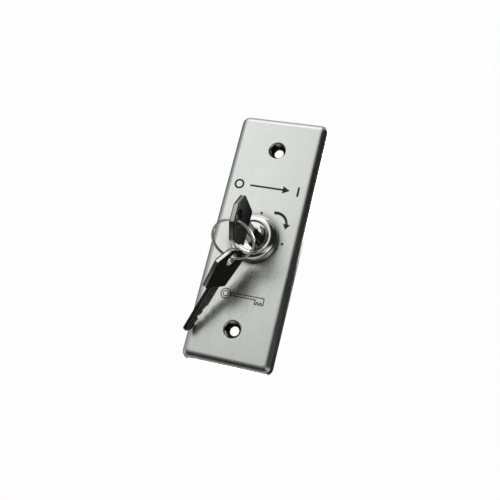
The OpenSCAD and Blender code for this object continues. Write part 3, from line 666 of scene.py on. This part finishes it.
def plated(name, base, rough):
    """Zinc, nickel or brass on small turned and stamped pieces."""
    material, nodes, shader, _ = new_surface(name)
    plain = nodes.coords()
    stain = nodes.noise(plain, scale=700, detail=5, rough=0.65, distort=0.3)
    texture = nodes.noise(plain, scale=2600, detail=3, rough=0.6)
    stained = (base[0] * 0.84, base[1] * 0.85, base[2] * 0.88)
    tint = nodes.mix(nodes.remap(stain, over=(0.35, 0.7)), base, stained)
    wear = nodes.edge_wear(radius=0.00025)
    colour = nodes.mix(nodes.times(wear, 0.55), tint, tinted(base, gain=1.18))
    roughness = nodes.math(
        "SUBTRACT", nodes.remap(stain, over=(0.3, 0.7), to=(rough - 0.06, rough + 0.10)),
        nodes.times(wear, 0.08))
    nodes.set(shader, {"Metallic": 1.0, "Base Color": colour, "Roughness": roughness,
                       "Normal": nodes.bump(texture, strength=0.08)})
    return material


def plastic(name, base, rough, grain, specular=0.5):
    material, nodes, shader, _ = new_surface(name)
    plain = nodes.coords()
    texture = nodes.noise(plain, scale=2400, detail=3, rough=0.55)
    cloud = nodes.noise(plain, scale=130, detail=4, rough=0.6, distort=0.6)
    wear = nodes.edge_wear(radius=0.0004)
    clouded = nodes.mix(nodes.remap(cloud, over=(0.35, 0.7)), base,
                        tinted(base, gain=1.25, lift=0.002, limit=math.inf))
    colour = nodes.mix(nodes.times(wear, 0.35), clouded, tinted(base, gain=1.7, lift=0.012))
    roughness = nodes.plus(
        nodes.remap(cloud, over=(0.35, 0.7), to=(rough - 0.05, rough + 0.08)),
        nodes.times(wear, -0.08))
    nodes.set(shader, {
        "Base Color": colour, "Roughness": roughness, "Specular IOR Level": specular,
        "Coat Roughness": 0.12,
        "Normal": nodes.bump(texture, strength=0.10 * grain, distance=0.00003)})
    return material


def ink(name):
    material, nodes, shader, _ = new_surface(name)
    plain = nodes.coords()
    texture = nodes.noise(plain, scale=3500, detail=4, rough=0.6)
    patches = nodes.noise(plain, scale=500, detail=4, rough=0.6)
    colour = nodes.mix(nodes.remap(patches, over=(0.35, 0.7)),
                       (0.012, 0.012, 0.013), (0.03, 0.03, 0.032))
    nodes.set(shader, {
        "Base Color": colour,
        "Roughness": nodes.remap(texture, over=(0.3, 0.7), to=(0.42, 0.62)),
        "Specular IOR Level": 0.35, "Normal": nodes.bump(texture, strength=0.2)})
    return material


# painted shade: the second key's metal is darkened below the foot of its bow, over its blade
SECOND_KEY_PAINTED_SHADE = (PLATE_TO_ROW @ KEY_2 @ Vector((0, 0, 0)),
                  ((PLATE_TO_ROW @ KEY_2).to_3x3() @ Vector((0, 0, 1))).normalized(), 0.25)
MATERIALS = {
    # painted shade: ambient occlusion blends the plate to black round the collar and keys, and in
    # the screw dimples
    "stainless": satin_steel("satin_stainless", (0.735, 0.746, 0.714), rough=0.28,
                             grain_scale=GRAIN_Z, grain=1.0, aniso=0.2,
                             open_range=(0.42, 0.92), closed_shade=0.05, dimples=True),
    "ink": ink("black_ink"),
    "gasket": plastic("black_rubber", (0.025, 0.025, 0.026), rough=0.75, grain=2.5,
                      specular=0.3),
    "chrome": chrome("polished_chrome", (0.88, 0.885, 0.89), rough=0.02),
    "plug": chrome("nickel_plate", (0.80, 0.79, 0.77), rough=0.05),
    "brass": plated("stamped_brass", (0.78, 0.58, 0.26), rough=0.32),
    "spring": plated("spring_wire", (0.60, 0.60, 0.62), rough=0.25),
    "zinc": plated("zinc_plate", (0.66, 0.67, 0.69), rough=0.36),
    "cam_acetal": plastic("natural_acetal", (0.80, 0.77, 0.66), rough=0.42, grain=0.8),
    "case_black": plastic("phenolic_black", (0.022, 0.022, 0.024), rough=0.42, grain=1.6),
    "plunger_red": plastic("red_acetal", (0.55, 0.05, 0.035), rough=0.35, grain=0.8),
    # painted shade by ambient occlusion in recesses
    "lever_steel": satin_steel("stainless_strip", (0.70, 0.70, 0.69), rough=0.28,
                               grain_scale=GRAIN_X, grain=0.8, aniso=0.0,
                               open_range=(0.3, 0.9), closed_shade=0.35),
    "contact_bronze": plated("phosphor_bronze", (0.80, 0.50, 0.27), rough=0.28),
    # key 1's metal is a darker copy of key 2's: painted shade
    "key_metal": key_steel("nickel_silver_key_painted_shade", (0.40, 0.396, 0.375),
                           # painted shadow round the centre of key 1's bow eye
                           dark_at=point(0, LOCK_Y, BOW_Z + EYE_HEIGHT)),
    "key_metal_2": key_steel("nickel_silver_key_2", (0.72, 0.71, 0.68), dim=SECOND_KEY_PAINTED_SHADE),
    "key_plastic": plastic("satin_black_bow", (0.007, 0.007, 0.0075), rough=0.42, grain=0.6,
                           specular=0.10),
    "ring_steel": plated("ring_nickel", (0.86, 0.86, 0.84), rough=0.26),
}


# ---------------------------------------------------------------- build the pieces
def paint(piece, slot):
    piece.data.materials.clear()
    piece.data.materials.append(MATERIALS[slot])


def hand_over(piece, rides, replaces, slot):
    paint(piece, slot)
    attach(piece, rides)
    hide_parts(replaces)


hand_over(build_plate(), "plate", "face_plate", "stainless")
hand_over(build_lock_body(), "plate", "lock_body", "chrome")
hand_over(build_bow("key_1_bow_cover", KEY_1), "key_1", "key_1_bow", "key_plastic")
hand_over(build_bow("key_2_bow_cover", KEY_2), "key_2", "key_2_bow", "key_plastic")
hand_over(build_ring(), "ring", "key_ring", "ring_steel")

REPLACED = {"face_plate", "lock_body", "key_1_bow", "key_2_bow", "key_ring"}
BEVEL_DEFAULT = 0.08
BEVELS = {    # mm; zero leaves the edges sharp
    "legend_print": 0.0, "springs_upper": 0.0, "springs_lower": 0.0, "switch_lever": 0.05,
    "moving_blade": 0.04, "terminal_com": 0.05, "terminal_no": 0.05, "terminal_nc": 0.05,
    "key_1_blade": 0.09, "key_2_blade": 0.09, "switch_bracket": 0.18, "lock_nut": 0.12,
    "switch_case": 0.14, "switch_cover": 0.12, "cam": 0.14}
node_slots = {part["node"]: part["material_slot"] for part in frame["record"]["subparts"]}
weld_group = build_weld_group()
for name, piece in cad_nodes.items():
    paint(piece, "key_metal_2" if name == "key_2_blade" else node_slots[name])
    if name not in REPLACED:
        dress(piece, weld_group, BEVELS.get(name, BEVEL_DEFAULT))

# ---------------------------------------------------------------- world, lights, floor, camera
scene = bpy.context.scene
PALE = (0.985, 0.985, 0.985)


def room_light(sky):
    """Radiance of the room by direction, in the plate's axes: soft panels in a dark room."""
    generated = sky.add("ShaderNodeTexCoord").outputs["Generated"]
    separate = sky.add("ShaderNodeSeparateXYZ", {0: generated})
    row_x, row_y, row_z = separate.outputs
    plus, times = sky.plus, sky.times

    def ramp(axis, over, to):
        """Smooth step along one of the plate's axes."""
        source = {"x": row_x, "y": row_z, "z": row_y}[axis]
        if axis == "z":
            source = times(source, -1.0)
        return sky.remap(source, over, to, interpolation_type="SMOOTHSTEP")

    # broad panel in front, above and to the left
    panel = times(ramp("x", over=(-0.02, 0.42), to=(1, 0)),
                  plus(ramp("y", over=(-0.24, 0.10), to=(0, 0.70)),
                       ramp("y", over=(0.02, 0.78), to=(0, 0.22))),
                  ramp("z", over=(0.05, 0.40), to=(0, 1)),
                  ramp("x", over=(-0.95, -0.5), to=(0.55, 1)))
    rear = times(ramp("z", over=(-0.75, -0.25), to=(0.06, 0)),
                 ramp("x", over=(-0.2, 0.1), to=(1, 0.01)))
    # overhead: full on the left, only behind the plate on the right
    overhead_sides = plus(ramp("x", over=(0, 0.12), to=(1, 0)),
                          times(ramp("x", over=(0, 0.12), to=(0, 1)),
                                ramp("x", over=(0.3, 0.75), to=(1, 0)),
                                ramp("z", over=(-0.02, 0.08), to=(1, 0))))
    overhead = times(ramp("y", over=(0.6, 0.8), to=(0, 0.62)), overhead_sides,
                     ramp("z", over=(-0.5, -0.1), to=(0.3, 1)))
    # low strip just in front of the plate's plane
    low_strip = times(times(ramp("z", over=(0.02, 0.08), to=(0, 1)),
                            ramp("z", over=(0.30, 0.38), to=(1, 0))),
                      times(ramp("y", over=(-0.25, 0.05), to=(1, 0)),
                            ramp("x", over=(-0.4, 0.2), to=(0.3, 1))))
    low = times(low_strip, ramp("z", over=(-1, -0.9), to=(0.52, 0.52)))
    left = times(ramp("x", over=(-0.95, -0.8), to=(0.2, 0)),
                 ramp("z", over=(-0.5, 0), to=(0.3, 1)))
    # band mostly behind the plate's plane, brightest low on the left
    band = times(ramp("z", over=(-0.55, -0.25), to=(0, 1)),
                 ramp("z", over=(0.02, 0.14), to=(1, 0)),
                 ramp("y", over=(-0.2, 0.4), to=(0.34, 0.06)),
                 ramp("x", over=(-0.1, 0.4), to=(1, 0.03)))
    everywhere = ramp("z", over=(-1, -0.9), to=(0.016, 0.016))
    # patches below the middle: front right, and centre to left
    right = times(times(ramp("x", over=(0.22, 0.52), to=(0, 0.55)),
                        ramp("y", over=(-0.34, -0.06), to=(1, 0))),
                  times(ramp("z", over=(0, 0.3), to=(0, 1)),
                        ramp("y", over=(-0.62, -0.46), to=(0, 1))))
    centre = times(ramp("x", over=(0.05, 0.30), to=(1, 0)),
                   ramp("y", over=(-0.28, -0.12), to=(0.20, 0)),
                   ramp("y", over=(-0.44, -0.30), to=(0, 1)))
    return plus(panel, rear, overhead, low, left, band, everywhere, plus(right, centre))


def build_world():
    """The camera sees a pale backdrop; everything else is lit by the room."""
    world = bpy.data.worlds.new("studio")
    scene.world = world
    world.use_nodes = True
    sky = Nodes(world.node_tree)
    output = sky.add("ShaderNodeOutputWorld")
    backdrop = sky.add("ShaderNodeBackground", {0: PALE})
    room = sky.add("ShaderNodeBackground", {0: (0.985, 0.99, 0.975), "Strength": room_light(sky)})
    seen = sky.add("ShaderNodeLightPath").outputs["Is Camera Ray"]
    mixed = sky.add("ShaderNodeMixShader", {0: seen, 1: room.outputs[0], 2: backdrop.outputs[0]})
    sky.set(output, {0: mixed.outputs[0]})


def softbox(name, towards, distance, size, power):
    """Square area light that faces the origin."""
    light = bpy.data.lights.new(name, "AREA")
    light.shape = "RECTANGLE"
    light.size, light.size_y = size, size
    light.energy = power
    lamp = bpy.data.objects.new(name, light)
    scene.collection.objects.link(lamp)
    aim = towards.normalized()
    lamp.location = aim * distance
    lamp.rotation_mode = "QUATERNION"
    lamp.rotation_quaternion = aim.to_track_quat("Z", "Y")
    lamp.visible_camera = False


def build_floor():
    """Pale floor well below the switch, seen only by the camera."""
    mesh = bmesh.new()
    bmesh.ops.create_grid(mesh, x_segments=24, y_segments=24, size=6.0)
    floor = link_mesh("floor", mesh)
    floor.location = (0, 0, -0.30)
    material, nodes, output = new_material("pale_floor")
    glow = nodes.add("ShaderNodeEmission", {0: PALE})
    clear = nodes.add("ShaderNodeBsdfTransparent")
    seen = nodes.add("ShaderNodeLightPath").outputs["Is Camera Ray"]
    mixed = nodes.add("ShaderNodeMixShader", {0: seen, 1: clear.outputs[0], 2: glow.outputs[0]})
    nodes.set(output, {0: mixed.outputs[0]})
    floor.data.materials.append(material)


def build_camera():
    """Camera in front of the plate, below it and to the right."""
    data = bpy.data.cameras.new("camera")
    camera = bpy.data.objects.new("camera", data)
    scene.collection.objects.link(camera)
    scene.camera = camera
    data.sensor_width = 36.0
    data.lens = 55.37088
    data.clip_start, data.clip_end = 0.01, 50
    right = direction(0.93914, 0.23872, -0.24703)
    up = direction(-0.16312, 0.94274, 0.2909)
    back = direction(0.30233, -0.23291, 0.92431)
    turn = Matrix((right, up, back)).transposed().to_4x4()
    camera.matrix_world = Matrix.Translation(point(100.7, -84.3, 315.5)) @ turn


build_world()
softbox("key_light", direction(-0.45, 0.30, 0.84), distance=0.62, size=0.30, power=0.10)
softbox("back_light", direction(0.35, 0.55, -0.76), distance=0.7, size=0.4, power=4.2)
softbox("back_fill", direction(-0.1, -0.72, -0.69), distance=0.7, size=0.4, power=2.4)
build_floor()
build_camera()

scene.view_settings.view_transform = "Standard"
scene.view_settings.look = "None"
scene.view_settings.exposure = 0.0
